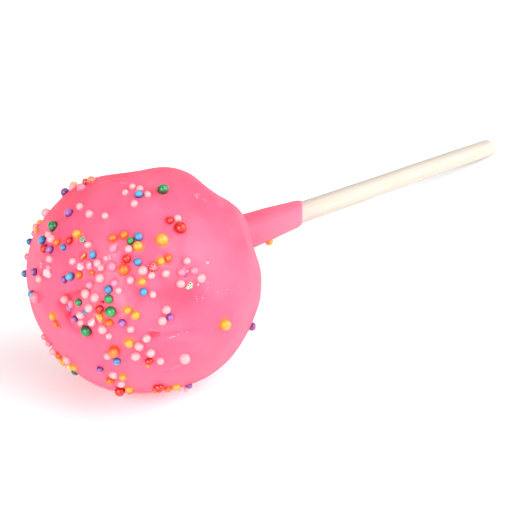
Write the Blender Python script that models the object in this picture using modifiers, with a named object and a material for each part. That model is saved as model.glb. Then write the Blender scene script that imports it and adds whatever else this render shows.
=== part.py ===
"""Cake pop lying on its side: a dipped ball of cake on a wooden stick, sprinkled with nonpareils.

The pop is modelled along its stick, with +Z running from the ball's middle to the stick's free end,
and a parent empty then lays it down: the ball rests on a small flat spot at the world origin, and
the stick slopes down along +X until its end touches the same surface.
"""

import math
import random

import bmesh
import bpy
from mathutils import Matrix, Vector, noise

MM = 0.001

# Ball, from its middle to its side, to the pole opposite the stick, and to the stick's side. It sits
# off the stick's line: x is towards the table, y across it.
BALL_SIDE = 18.9 * MM
BALL_POLE = 18.4 * MM
BALL_BACK = 18.8 * MM
FLAT_DEPTH = 0.6 * MM
BALL_OFF_LINE = Vector((1.80 * MM, -1.15 * MM, 0.0))

# Stick. Its reach is from the foot of the ball's middle, on the stick's line, to its free end, which
# is cut a little askew.
STICK_RADIUS = 2.0 * MM
STICK_LENGTH = 118.0 * MM
STICK_REACH = 118.0 * MM
STICK_END_ROUND = 0.35 * MM
STICK_END_SLANT = math.radians(15)
STICK_END_LONG_TURN = 147
STICK_GAP = 0.25 * MM

# Sleeve of coating that ran up the stick, which it leaves on a slanted edge. Its hollow corner with
# the ball is the neck.
NECK_START = 6.4 * MM
NECK_HOLLOW = Vector((0.3 * MM, 0.9 * MM))
NECK_RADIUS = 3.25 * MM
NECK_END = 23.0 * MM
SLEEVE_END = 44.5 * MM
SLEEVE_END_RADIUS = 2.5 * MM
SLEEVE_LIP = Vector((0.1 * MM, 0.5 * MM))
SLEEVE_SLANT = 2.1 * MM
SLEEVE_LONG_TURN = 269
CENTRED_FROM = 14 * MM
CENTRED_BY = 26 * MM

SIDES = 44
BALL_RINGS = 22
NECK_RINGS = 5
SLEEVE_RINGS = 6

# Swells and dents of the coating: degrees from the pole, turn, width in degrees, height.
SWELLS = (
    (113, 359, 17, 0.35 * MM),
    (131, 37, 12, 0.65 * MM),
    (124, 17, 9, -0.75 * MM),
    (95, 339, 16, -1.10 * MM),
    (52, 287, 25, 0.65 * MM),
    (42, 208, 11, -0.55 * MM),
    (72, 154, 15, -0.80 * MM),
    (90, 140, 4, -0.60 * MM),
    (128, 83, 20, 0.30 * MM),
    (132, 62, 7, -0.35 * MM),
    (15, 62, 8, 0.45 * MM),
    (4, 30, 6, -0.55 * MM),
    (13, 250, 8, 0.35 * MM),
    (66, 62, 11, -0.40 * MM),
    (66, 98, 13, 0.25 * MM),
    (104, 262, 18, 0.45 * MM),
    (128, 215, 15, 0.55 * MM),
    (133, 288, 16, -0.45 * MM),
)
RIPPLE_HEIGHT = 0.16 * MM
RIPPLE_LENGTH = 8.0 * MM

# Pinches of sprinkles: degrees from the pole, turn, spread in degrees, and the colours that fell, by
# their first letters (v is violet). A capital letter is a large sprinkle.
PINCHES = (
    (6, 25, 4, "pvw"),
    (8, 215, 4, "yo"),
    (15, 86, 4, "wvw"),
    (17, 113, 1, "G"),
    (20, 54, 4, "wwgp"),
    (23, 75, 5, "wyovr"),
    (25, 99, 3, "ww"),
    (27, 55, 5, "pwwg"),
    (28, 75, 1, "G"),
    (17, 4, 2, "v"),
    (19, 292, 8, "wPv"),
    (25, 272, 2, "b"),
    (23, 13, 5, "wbpo"),
    (30, 22, 5, "bwopw"),
    (31, 327, 6, "vwwor"),
    (31, 350, 3, "br"),
    (38, 323, 5, "Gwb"),
    (31, 217, 3, "pp"),
    (34, 182, 6, "yyw"),
    (33, 146, 2, "v"),
    (32, 121, 5, "wOb"),
    (33, 44, 6, "wbwp"),
    (37, 357, 4, "gy"),
    (38, 81, 6, "wyyv"),
    (42, 105, 5, "ywww"),
    (45, 45, 5, "rwbO"),
    (44, 28, 3, "op"),
    (44, 144, 5, "woyw"),
    (49, 59, 6, "ywwb"),
    (51, 109, 4, "wrw"),
    (52, 81, 4, "wwv"),
    (53, 32, 6, "yogb"),
    (49, 338, 2, "v"),
    (56, 358, 12, "www"),
    (57, 55, 6, "ywowr"),
    (54, 151, 5, "Ryo"),
    (62, 40, 2, "Y"),
    (68, 11, 6, "wwbwww"),
    (79, 17, 1, "G"),
    (73, 37, 4, "Rwr"),
    (68, 62, 6, "ppwwgw"),
    (66, 106, 2, "W"),
    (84, 91, 2, "Y"),
    (116, 108, 2, "v"),
    (69, 138, 6, "oRyo"),
    (82, 138, 5, "wvw"),
    (68, 335, 4, "opr"),
    (73, 318, 4, "yvw"),
    (58, 300, 8, "yw"),
)

# More pinches, by chance, on the side that faces +Y.
FAR_PINCHES = 10
FAR_PINCH_SIZE = 4
FAR_SPREAD = 10.0
FAR_POLAR = (52, 90)
FAR_TURN = (185, 290)
COLOUR_MIX = "wwwwwwpooyyrrvvbbg"
SEED = 1885

# One sprinkle. Its middle stands out of the coating by a share of its radius, the lift. Bulk makes a
# faceted bead look as large as the round one.
GRAIN_RADIUS = (0.48 * MM, 0.68 * MM)
LARGE_GRAIN_RADIUS = 0.80 * MM
GRAIN_LIFT = (0.25, 0.60)
GRAIN_ROOM = 0.15 * MM
GRAIN_TRIES = 40
GRAIN_BULK = 1.1
GRAIN_CLEARANCE = 0.8 * MM

# The one on the sleeve: how far along the stick, how far out, turn.
SLEEVE_GRAIN = (32.7 * MM, 3.1 * MM, 147)

PINK = (1.0, 0.15, 0.30)
BIRCH = (0.90, 0.80, 0.62)

BALL_HEIGHT = BALL_SIDE - FLAT_DEPTH


def rest_tilt():
    """The slope at which the ball's flat spot and the stick's end touch one level surface."""
    long_side = math.cos(math.radians(180 - STICK_END_LONG_TURN))
    reach = STICK_REACH + STICK_RADIUS * math.tan(STICK_END_SLANT) * long_side
    under_line = BALL_OFF_LINE.x - STICK_RADIUS
    return math.asin(BALL_HEIGHT / math.hypot(reach, under_line)) + math.atan2(under_line, reach)


def clear_scene():
    for obj in list(bpy.data.objects):
        bpy.data.objects.remove(obj)


def finish_material(name, colour, roughness):
    made = bpy.data.materials.new(name)
    made.use_nodes = True
    shader = made.node_tree.nodes["Principled BSDF"]
    shader.inputs["Base Color"].default_value = (*colour, 1.0)
    shader.inputs["Roughness"].default_value = roughness
    shader.inputs["Metallic"].default_value = 0.0
    return made


def new_object(name, mesh, collection):
    made = bpy.data.objects.new(name, mesh)
    collection.objects.link(made)
    return made


def eased(low, high, value):
    """0 below low, 1 above high, and a smooth step between them."""
    share = min(1.0, max(0.0, (value - low) / (high - low)))
    return share * share * (3.0 - 2.0 * share)


def toward(polar, turn):
    """Direction from the ball's middle. polar counts from the pole opposite the stick, and turn from
    the side that lies uppermost, round through the -Y side."""
    polar, turn = math.radians(polar), math.radians(turn)
    return Vector(
        (
            -math.sin(polar) * math.cos(turn),
            -math.sin(polar) * math.sin(turn),
            -math.cos(polar),
        )
    )


def turn_of(point):
    return math.atan2(-point.y, -point.x)


def swell(direction):
    """How far the coating stands out from the plain ball in this direction."""
    height = 0.0
    for polar, turn, width, lift in SWELLS:
        away = math.degrees(direction.angle(toward(polar, turn)))
        height += lift * math.exp(-((away / width) ** 2))
    ripple = noise.noise(direction * (BALL_SIDE / RIPPLE_LENGTH), noise_basis="PERLIN_ORIGINAL")
    return height + RIPPLE_HEIGHT * ripple


def set_off_line(point):
    """Shifts the ball off the stick's line, and leaves the sleeve round the stick."""
    return point + BALL_OFF_LINE * (1.0 - eased(CENTRED_FROM, CENTRED_BY, point.z))


def coating_form(point):
    """Moves a point of the plain turned outline to its place on the uneven real coating."""
    direction = point.normalized()
    fade = 1.0 - eased(BALL_BACK, NECK_END, point.z)
    moved = point + direction * swell(direction) * fade
    if point.z > NECK_END and point.xy.length > STICK_RADIUS:
        slant = math.cos(turn_of(point) - math.radians(SLEEVE_LONG_TURN))
        moved.z += SLEEVE_SLANT * slant * eased(NECK_END, SLEEVE_END, point.z)
    return set_off_line(moved)


def plain_outline():
    """Half outline of the coating before it is made uneven, from the sleeve's end to the pole."""
    points = [
        (0.0, SLEEVE_END),
        (SLEEVE_END_RADIUS - SLEEVE_LIP.x, SLEEVE_END),
        (SLEEVE_END_RADIUS, SLEEVE_END - SLEEVE_LIP.y),
    ]
    for ring in range(1, SLEEVE_RINGS):
        share = ring / SLEEVE_RINGS
        swelling = math.sin(share * math.pi / 2)
        radius = SLEEVE_END_RADIUS + (NECK_RADIUS - SLEEVE_END_RADIUS) * swelling
        points.append((radius, SLEEVE_END + (NECK_END - SLEEVE_END) * share))
    polar_start = math.pi - math.asin(NECK_START / BALL_SIDE)
    foot = Vector((NECK_START, -math.cos(polar_start) * BALL_BACK))
    top = Vector((NECK_RADIUS, NECK_END))
    corner = Vector((NECK_RADIUS, foot.y)) + NECK_HOLLOW
    for ring in range(NECK_RINGS):
        share = ring / NECK_RINGS
        bend = top.lerp(corner, share).lerp(corner.lerp(foot, share), share)
        points.append((bend.x, bend.y))
    for ring in range(BALL_RINGS):
        polar = polar_start * (1.0 - ring / BALL_RINGS)
        height = BALL_BACK if polar > math.pi / 2 else BALL_POLE
        points.append((math.sin(polar) * BALL_SIDE, -math.cos(polar) * height))
    points.append((0.0, -BALL_POLE))
    return points


def turned_mesh(name, outline, collection):
    """The solid that a half outline makes when it is turned about Z."""
    mesh = bpy.data.meshes.new(name)
    edges = [(i, i + 1) for i in range(len(outline) - 1)]
    mesh.from_pydata([(x, 0.0, z) for x, z in outline], edges, [])
    profile = new_object(name, mesh, collection)
    screw = profile.modifiers.new("turn", "SCREW")
    screw.axis = "Z"
    screw.steps = SIDES
    screw.render_steps = SIDES
    screw.use_merge_vertices = True
    screw.merge_threshold = 0.01 * MM
    bpy.context.view_layer.update()
    graph = bpy.context.evaluated_depsgraph_get()
    turned = bpy.data.meshes.new_from_object(profile.evaluated_get(graph))
    bpy.data.objects.remove(profile)
    return turned


def plain_ball_point(direction):
    """Where a ray from the ball's middle leaves the plain ball."""
    side = direction.xy.length
    along = abs(direction.z)
    height = BALL_BACK if direction.z > 0 else BALL_POLE
    return direction / math.hypot(side / BALL_SIDE, along / height)


def stray(rng, middle, spread):
    """A direction that falls near another one, by chance."""
    aside = middle.orthogonal().normalized()
    across = middle.cross(aside)
    reach = math.tan(math.radians(spread)) * math.sqrt(rng.random())
    turn = rng.uniform(0.0, math.tau)
    return (middle + aside * reach * math.cos(turn) + across * reach * math.sin(turn)).normalized()


def lay_down_matrix():
    """Lays the pop on its side, with the ball's middle over the world origin."""
    turn = Matrix.Rotation(math.pi / 2 + rest_tilt(), 4, "Y")
    middle = turn @ BALL_OFF_LINE
    return Matrix.Translation(Vector((0.0, 0.0, BALL_HEIGHT)) - middle) @ turn


def room_for(middle, radius, placed):
    return all(
        (middle - other).length > radius + other_radius + GRAIN_ROOM
        for other, other_radius, _ in placed
    )


def grains():
    """Every sprinkle as (middle, radius, colour letter) in the pop's own frame, the largest first."""
    rng = random.Random(SEED)
    pinches = list(PINCHES)
    for _ in range(FAR_PINCHES):
        colours = "".join(rng.choice(COLOUR_MIX) for _ in range(FAR_PINCH_SIZE))
        pinches.append((rng.uniform(*FAR_POLAR), rng.uniform(*FAR_TURN), FAR_SPREAD, colours))
    falls = []
    for polar, turn, spread, colours in pinches:
        for colour in colours:
            radius = LARGE_GRAIN_RADIUS if colour.isupper() else rng.uniform(*GRAIN_RADIUS)
            falls.append((radius, toward(polar, turn), spread, colour.lower()))
    falls.sort(key=lambda fall: -fall[0])
    lay_down = lay_down_matrix()
    placed = []
    for radius, aim, spread, colour in falls:
        for attempt in range(GRAIN_TRIES):
            direction = stray(rng, aim, spread * (1.0 + attempt / GRAIN_TRIES))
            lift = radius * rng.uniform(*GRAIN_LIFT)
            middle = coating_form(plain_ball_point(direction)) + direction * lift
            over_table = (lay_down @ middle).z - radius > GRAIN_CLEARANCE
            if over_table and room_for(middle, radius, placed):
                placed.append((middle, radius, colour))
                break
    along, out, turn = SLEEVE_GRAIN
    placed.append((toward(90, turn) * out + Vector((0.0, 0.0, along)), GRAIN_RADIUS[1], "y"))
    return placed


def grain_object(place, collection):
    """One sprinkle as a twenty-sided bead of the sprinkle's volume."""
    middle, radius, _ = place
    shape = bmesh.new()
    bmesh.ops.create_icosphere(shape, subdivisions=1, radius=radius * GRAIN_BULK)
    bmesh.ops.rotate(
        shape,
        verts=shape.verts,
        matrix=Matrix.Rotation(middle.x / MM, 3, "X") @ Matrix.Rotation(middle.y / MM, 3, "Y"),
    )
    bmesh.ops.translate(shape, verts=shape.verts, vec=middle)
    mesh = bpy.data.meshes.new("grain")
    shape.to_mesh(mesh)
    shape.free()
    return new_object("grain", mesh, collection)


def rod_mesh(radius, low, high):
    """A closed cylinder about Z, with its sides lined up with the turned coating's."""
    shape = bmesh.new()
    bmesh.ops.create_cone(
        shape,
        cap_ends=True,
        segments=SIDES,
        radius1=radius,
        radius2=radius,
        depth=high - low,
    )
    bmesh.ops.translate(shape, verts=shape.verts, vec=(0.0, 0.0, (low + high) / 2))
    mesh = bpy.data.meshes.new("rod")
    shape.to_mesh(mesh)
    shape.free()
    return mesh


def add_boolean(obj, name, operation, other):
    modifier = obj.modifiers.new(name, "BOOLEAN")
    modifier.operation = operation
    modifier.solver = "EXACT"
    if isinstance(other, bpy.types.Collection):
        modifier.operand_type = "COLLECTION"
        modifier.collection = other
    else:
        modifier.object = other
    return modifier


def as_helper(obj):
    obj.hide_render = True
    obj.display_type = "WIRE"
    return obj


def applied(obj):
    """Replaces the object's mesh by what its modifiers make of it."""
    bpy.context.view_layer.update()
    graph = bpy.context.evaluated_depsgraph_get()
    mesh = bpy.data.meshes.new_from_object(obj.evaluated_get(graph))
    obj.modifiers.clear()
    obj.data = mesh


def build_coating(parts, cutters, pop):
    """The dipped ball with its sleeve and sprinkles, bored for the stick and flat where it rests."""
    coating = new_object("candy_coated_ball", turned_mesh("coating", plain_outline(), parts), parts)
    for vertex in coating.data.vertices:
        vertex.co = coating_form(vertex.co)
    sprinkles = bpy.data.collections.new("sprinkles")
    bpy.context.scene.collection.children.link(sprinkles)
    for place in grains():
        grain_object(place, sprinkles)
    add_boolean(coating, "sprinkles", "UNION", sprinkles)
    applied(coating)
    for grain in list(sprinkles.objects):
        bpy.data.objects.remove(grain)
    bpy.data.collections.remove(sprinkles)

    bore_low = STICK_REACH - STICK_LENGTH - STICK_GAP
    bore_mesh = rod_mesh(STICK_RADIUS + STICK_GAP, bore_low, STICK_REACH)
    bore = as_helper(new_object("stick_bore", bore_mesh, cutters))
    bore.parent = pop
    add_boolean(coating, "bore", "DIFFERENCE", bore)

    bpy.ops.mesh.primitive_cube_add(size=BALL_SIDE * 2, location=(0.0, 0.0, -BALL_SIDE))
    table = as_helper(bpy.context.object)
    table.name = "table_cut"
    table.users_collection[0].objects.unlink(table)
    cutters.objects.link(table)
    add_boolean(coating, "flat_spot", "DIFFERENCE", table)

    coating.parent = pop
    coating.data.materials.clear()
    coating.data.materials.append(finish_material("pink_candy_coating", PINK, 0.35))
    coating.data.shade_smooth()
    return coating


def build_stick(parts, pop):
    """The wooden stick, with both ends slightly rounded."""
    low = STICK_REACH - STICK_LENGTH
    stick = new_object("wooden_stick", rod_mesh(STICK_RADIUS, low, STICK_REACH), parts)
    long_side = toward(90, STICK_END_LONG_TURN)
    for vertex in stick.data.vertices:
        if vertex.co.z > STICK_REACH / 2:
            across = vertex.co.dot(long_side)
            vertex.co.z += across * math.tan(STICK_END_SLANT)
    rounding = stick.modifiers.new("rounded_ends", "BEVEL")
    rounding.width = STICK_END_ROUND
    rounding.segments = 2
    rounding.limit_method = "ANGLE"
    rounding.angle_limit = math.radians(60)
    stick.parent = pop
    stick.data.materials.append(finish_material("birch_wood", BIRCH, 0.6))
    stick.data.shade_smooth()
    stick.data.set_sharp_from_angle(angle=math.radians(40))
    return stick


def main():
    clear_scene()
    parts = bpy.data.collections.new("cake_pop")
    cutters = bpy.data.collections.new("cutters")
    for collection in (parts, cutters):
        bpy.context.scene.collection.children.link(collection)
    pop = new_object("pop", None, parts)
    pop.matrix_world = lay_down_matrix()
    build_stick(parts, pop)
    build_coating(parts, cutters, pop)


main()
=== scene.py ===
"""Looks of a cake pop that lies on its side: a birch stick, a ball of cake dipped in pink candy
coating, and a scatter of round sugar sprinkles."""

import math
import random

import bmesh
import bpy
from mathutils import Euler, Matrix, Vector, geometry, kdtree, noise


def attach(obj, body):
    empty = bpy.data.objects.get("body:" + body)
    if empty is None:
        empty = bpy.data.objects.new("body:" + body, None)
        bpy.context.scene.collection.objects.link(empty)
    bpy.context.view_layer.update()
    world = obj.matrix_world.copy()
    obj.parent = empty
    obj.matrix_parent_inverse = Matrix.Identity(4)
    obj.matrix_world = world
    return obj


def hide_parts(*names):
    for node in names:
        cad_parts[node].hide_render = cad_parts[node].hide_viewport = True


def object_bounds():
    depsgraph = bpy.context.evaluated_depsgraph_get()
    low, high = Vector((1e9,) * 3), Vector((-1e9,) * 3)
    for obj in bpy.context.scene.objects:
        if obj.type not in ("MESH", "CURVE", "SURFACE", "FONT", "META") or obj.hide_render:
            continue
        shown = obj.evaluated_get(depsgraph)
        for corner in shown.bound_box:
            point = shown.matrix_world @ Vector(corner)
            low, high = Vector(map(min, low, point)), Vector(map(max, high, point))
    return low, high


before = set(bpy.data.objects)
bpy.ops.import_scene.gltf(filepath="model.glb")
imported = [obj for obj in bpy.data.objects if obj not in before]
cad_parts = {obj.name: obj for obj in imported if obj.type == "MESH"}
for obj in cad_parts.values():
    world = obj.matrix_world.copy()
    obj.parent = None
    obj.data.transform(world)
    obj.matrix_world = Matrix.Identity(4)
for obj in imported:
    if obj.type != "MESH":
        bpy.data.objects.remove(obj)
solid_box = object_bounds()

# ---------------------------------------------------------------------------------- wooden stick
# A lollipop stick of birch, 4 mm thick, turned from a blank and tumbled smooth. One end was pushed
# into the ball of cake before the dip. The free end was cut a little askew, and the pop lies on it
# and on the ball, so the stick slopes down to the table.

MM = 0.001
WELD = 0.001 * MM

STICK_RADIUS = 2.0 * MM
STICK_REACH = 118.0 * MM
STICK_EDGE = 0.45 * MM
STICK_EDGE_RINGS = 5
STICK_SIDES = 128
STICK_RINGS = 150
STICK_SLANT = math.radians(15)
STICK_LONG_TURN = 147
STICK_SLANT_FROM = 109.0 * MM
STICK_WANDER = 0.03 * MM
STICK_WANDER_LENGTH = 26.0 * MM
WANDER_APART = Vector((7.0, 0.0, 0.0))
GROOVE_DEPTH = 0.035 * MM
GROOVE_WIDTH = 0.45 * MM
GROOVE_LENGTH = 16.0 * MM
GROOVE_NARROWING = 4.0
YEAR_BAND = 1.3 * MM
GRAIN_LINE = 0.28 * MM
GRAIN_STRETCH = 0.025
FLECK_WIDTH = 0.34 * MM
FLECK_STRETCH = 0.16
SMEAR_LENGTH = 6.0 * MM
SAPWOOD = (0.478, 0.436, 0.382, 1.0)
SUMMERWOOD = (0.435, 0.385, 0.315, 1.0)
FLECK_BROWN = (0.32, 0.23, 0.13, 1.0)
SMEAR_PINK = (0.50, 0.36, 0.33, 1.0)

# The ball, as far as the way the pop lies depends on it. It sits off the stick's line: x is towards
# the table, y across it.
BALL_SIDE = 18.9 * MM
FLAT_DEPTH = 0.6 * MM
BALL_OFF_LINE = Vector((1.80 * MM, -1.15 * MM, 0.0))
SLEEVE_END = 44.5 * MM


def eased(low, high, value):
    """0 below low, 1 above high, and a smooth step between them."""
    share = min(1.0, max(0.0, (value - low) / (high - low)))
    return share * share * (3.0 - 2.0 * share)


def toward(polar, turn):
    """Direction from the ball's middle. polar counts from the pole opposite the stick, and turn from
    the side that lies uppermost, round through the -Y side."""
    polar, turn = math.radians(polar), math.radians(turn)
    return Vector(
        (
            -math.sin(polar) * math.cos(turn),
            -math.sin(polar) * math.sin(turn),
            -math.cos(polar),
        )
    )


def lay_down_matrix():
    """Lays the pop on its side, with the ball's middle over the origin. Before that, +Z runs from
    the ball's middle along the stick."""
    long_side = math.cos(math.radians(180 - STICK_LONG_TURN))
    reach = STICK_REACH + STICK_RADIUS * math.tan(STICK_SLANT) * long_side
    ball_height = BALL_SIDE - FLAT_DEPTH
    under_line = BALL_OFF_LINE.x - STICK_RADIUS
    tilt = math.asin(ball_height / math.hypot(reach, under_line)) + math.atan2(under_line, reach)
    turn = Matrix.Rotation(math.pi / 2 + tilt, 4, "Y")
    table = solid_box[0].z
    middle = Vector((0.0, 0.0, table + ball_height)) - turn @ BALL_OFF_LINE
    return Matrix.Translation(middle) @ turn


LAY_DOWN = lay_down_matrix()


def spun(outline, sides):
    """The closed shape that a half outline of (out, along) points makes when it is turned."""
    shape = bmesh.new()
    corners = [shape.verts.new((out, 0.0, along)) for out, along in outline]
    for first, second in zip(corners, corners[1:]):
        shape.edges.new((first, second))
    bmesh.ops.spin(
        shape,
        geom=shape.verts[:] + shape.edges[:],
        cent=(0.0, 0.0, 0.0),
        axis=(0.0, 0.0, 1.0),
        angle=math.tau,
        steps=sides,
        use_merge=True,
    )
    bmesh.ops.remove_doubles(shape, verts=shape.verts, dist=WELD)
    bmesh.ops.recalc_face_normals(shape, faces=shape.faces)
    return shape


def laid_down(shape, name, material):
    """The finished piece, laid down from the pop's own frame."""
    bmesh.ops.transform(shape, matrix=LAY_DOWN, verts=shape.verts)
    mesh = bpy.data.meshes.new(name)
    shape.to_mesh(mesh)
    shape.free()
    mesh.shade_smooth()
    mesh.materials.append(material)
    piece = bpy.data.objects.new(name, mesh)
    bpy.context.scene.collection.objects.link(piece)
    return piece


def quarter_round(out, along, radius, start, steps):
    """Points along a rounded edge about (out, along), through 90 degrees from the angle start."""
    angles = [start + math.pi / 2 * step / steps for step in range(steps + 1)]
    return [(out + radius * math.cos(a), along + radius * math.sin(a)) for a in angles]


def stick_outline():
    """Half outline of the plain rod, from the end in the ball to the free end."""
    core = STICK_RADIUS - STICK_EDGE
    points = [(0.0, 0.0)]
    points += quarter_round(core, STICK_EDGE, STICK_EDGE, -math.pi / 2, STICK_EDGE_RINGS)
    for ring in range(1, STICK_RINGS):
        share = ring / STICK_RINGS
        points.append((STICK_RADIUS, STICK_EDGE + (STICK_REACH - 2 * STICK_EDGE) * share))
    points += quarter_round(core, STICK_REACH - STICK_EDGE, STICK_EDGE, 0.0, STICK_EDGE_RINGS)
    points.append((0.0, STICK_REACH))
    return points


def turned_wood(point):
    """Moves a point of the plain rod to where tool and grain leave it."""
    along = Vector((0.0, 0.0, point.z / STICK_WANDER_LENGTH))
    aside = Vector((noise.noise(along), noise.noise(along + WANDER_APART), 0.0))
    grain = Vector((point.x / GROOVE_WIDTH, point.y / GROOVE_WIDTH, point.z / GROOVE_LENGTH))
    groove = max(0.0, 1.0 - GROOVE_NARROWING * abs(noise.noise(grain)))
    moved = point - point * Vector((1.0, 1.0, 0.0)) * (groove * GROOVE_DEPTH / STICK_RADIUS)
    moved += aside * STICK_WANDER
    across = point.dot(toward(90, STICK_LONG_TURN))
    moved.z += across * math.tan(STICK_SLANT) * eased(STICK_SLANT_FROM, STICK_REACH, point.z)
    return moved


def put(tree, kind, sockets=(), **settings):
    """Adds a node. Each of its sockets gets a number or colour, or another node's output."""
    made = tree.nodes.new("ShaderNode" + kind)
    for name, value in settings.items():
        setattr(made, name, value)
    for socket, value in dict(sockets).items():
        if isinstance(value, bpy.types.NodeSocket):
            tree.links.new(value, made.inputs[socket])
        else:
            made.inputs[socket].default_value = value
    return made


def mixed(tree, share, first, second):
    """One colour laid over another, where share says how much of the second shows."""
    made = put(tree, "Mix", data_type="RGBA")
    below, above = (socket for socket in made.inputs if socket.type == "RGBA")
    for value, socket in ((share, made.inputs["Factor"]), (first, below), (second, above)):
        if isinstance(value, bpy.types.NodeSocket):
            tree.links.new(value, socket)
        else:
            socket.default_value = value
    return next(socket for socket in made.outputs if socket.type == "RGBA")


def ranged(tree, value, low, high, to_low=0.0, to_high=1.0):
    """A value taken from one range to another, with a smooth step and no overshoot."""
    made = put(
        tree,
        "MapRange",
        {"Value": value, "From Min": low, "From Max": high, "To Min": to_low, "To Max": to_high},
        interpolation_type="SMOOTHSTEP",
    )
    return made.outputs["Result"]


def new_finish(name):
    """An empty material, as its node tree, its shader and the place on the piece."""
    made = bpy.data.materials.new(name)
    made.use_nodes = True
    tree = made.node_tree
    place = put(tree, "TexCoord").outputs["Object"]
    return made, tree, tree.nodes["Principled BSDF"], place


def cloud_group():
    """Soft patches of one size, as a mask from 0 to 1 and as a height about 0."""
    tree = bpy.data.node_groups.new("soft_patches", "ShaderNodeTree")
    tree.interface.new_socket("Place", in_out="INPUT", socket_type="NodeSocketVector")
    tree.interface.new_socket("Patches per metre", in_out="INPUT", socket_type="NodeSocketFloat")
    tree.interface.new_socket("Fineness", in_out="INPUT", socket_type="NodeSocketFloat")
    tree.interface.new_socket("Mask", in_out="OUTPUT", socket_type="NodeSocketFloat")
    given = tree.nodes.new("NodeGroupInput").outputs
    patches = put(
        tree,
        "TexNoise",
        {
            "Vector": given["Place"],
            "Scale": given["Patches per metre"],
            "Detail": given["Fineness"],
            "Roughness": 0.55,
        },
    )
    result = tree.nodes.new("NodeGroupOutput")
    tree.links.new(ranged(tree, patches.outputs["Fac"], 0.30, 0.70), result.inputs["Mask"])
    return tree


SOFT_PATCHES = cloud_group()


def patches(tree, place, size, fineness=2.0):
    """A mask of soft patches of this size on the piece."""
    made = tree.nodes.new("ShaderNodeGroup")
    made.node_tree = SOFT_PATCHES
    tree.links.new(place, made.inputs["Place"])
    made.inputs["Patches per metre"].default_value = 1.0 / size
    made.inputs["Fineness"].default_value = fineness
    return made.outputs["Mask"]


def birch_finish():
    """Pale close-grained wood, with faint lines and short brown flecks along the stick, and a smear
    of pink where the coating ends."""
    made, tree, shader, place = new_finish("birch_wood")
    in_pop = put(tree, "Mapping", {"Vector": place}, vector_type="TEXTURE")
    in_pop.inputs["Location"].default_value = LAY_DOWN.to_translation()
    in_pop.inputs["Rotation"].default_value = LAY_DOWN.to_euler()
    in_pop = in_pop.outputs["Vector"]
    drawn_out = put(tree, "Mapping", {"Vector": in_pop, "Scale": (1.0, 1.0, GRAIN_STRETCH)})
    band = patches(tree, drawn_out.outputs["Vector"], YEAR_BAND)
    line = patches(tree, drawn_out.outputs["Vector"], GRAIN_LINE, 3.0)
    flecked = put(tree, "Mapping", {"Vector": in_pop, "Scale": (1.0, 1.0, FLECK_STRETCH)})
    flecks = put(tree, "TexNoise", {"Vector": flecked.outputs["Vector"], "Scale": 1.0 / FLECK_WIDTH})
    fleck = ranged(tree, flecks.outputs["Fac"], 0.70, 0.78)
    wood = mixed(tree, ranged(tree, band, 0.0, 1.0, 0.0, 0.55), SAPWOOD, SUMMERWOOD)
    wood = mixed(tree, ranged(tree, line, 0.35, 1.0, 0.0, 0.45), wood, SUMMERWOOD)
    wood = mixed(tree, ranged(tree, fleck, 0.0, 1.0, 0.0, 0.5), wood, FLECK_BROWN)
    height = put(tree, "SeparateXYZ", {"Vector": in_pop}).outputs["Z"]
    smear = ranged(tree, height, SLEEVE_END - 1.0 * MM, SLEEVE_END + SMEAR_LENGTH, 0.5, 0.0)
    wood = mixed(tree, smear, wood, SMEAR_PINK)
    tree.links.new(wood, shader.inputs["Base Color"])
    tree.links.new(ranged(tree, line, 0.0, 1.0, 0.50, 0.68), shader.inputs["Roughness"])
    shader.inputs["Subsurface Weight"].default_value = 0.55
    shader.inputs["Subsurface Radius"].default_value = (1.0, 0.9, 0.75)
    shader.inputs["Subsurface Scale"].default_value = 1.6 * MM
    pores = put(tree, "Bump", {"Height": line, "Strength": 0.35, "Distance": 0.03 * MM})
    tree.links.new(pores.outputs["Normal"], shader.inputs["Normal"])
    return made


stick = spun(stick_outline(), STICK_SIDES)
for vertex in stick.verts:
    vertex.co = turned_wood(vertex.co)
wooden_stick = laid_down(stick, "birch_stick", birch_finish())
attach(wooden_stick, "root")
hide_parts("wooden_stick")

# ------------------------------------------------------------------------------- candy coating
# The ball of cake was dipped in melted pink candy coating, which set about 2 mm thick. It ran up
# the stick as a sleeve, and stayed uneven: a drip at the top of the dip, soft folds and dents, and
# scuffs. The sprinkles fell on it while it was wet, and it rises a little round each of them.

BALL_POLE = 18.4 * MM
BALL_BACK = 18.8 * MM
BORE_GAP = 0.05 * MM
NECK_START = 6.4 * MM
NECK_HOLLOW = Vector((0.3 * MM, 0.9 * MM))
NECK_RADIUS = 3.25 * MM
NECK_END = 23.0 * MM
SLEEVE_END_RADIUS = 2.5 * MM
SLEEVE_LIP = 2.2 * MM
LIP_BLUNTNESS = 1.15
SLEEVE_SLANT = 2.1 * MM
SLEEVE_LONG_TURN = 269
SLEEVE_NOTCH = 0.45 * MM
SLEEVE_NOTCH_TURN = 58
# How far along the stick the coating starts to follow the stick's line, and where it is on it.
CENTRED_FROM = 14.0 * MM
CENTRED_BY = 26.0 * MM

COATING_SIDES = 320
BALL_RINGS = 190
NECK_RINGS = 18
SLEEVE_RINGS = 58
LIP_RINGS = 8
BORE_RINGS = 4

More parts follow.
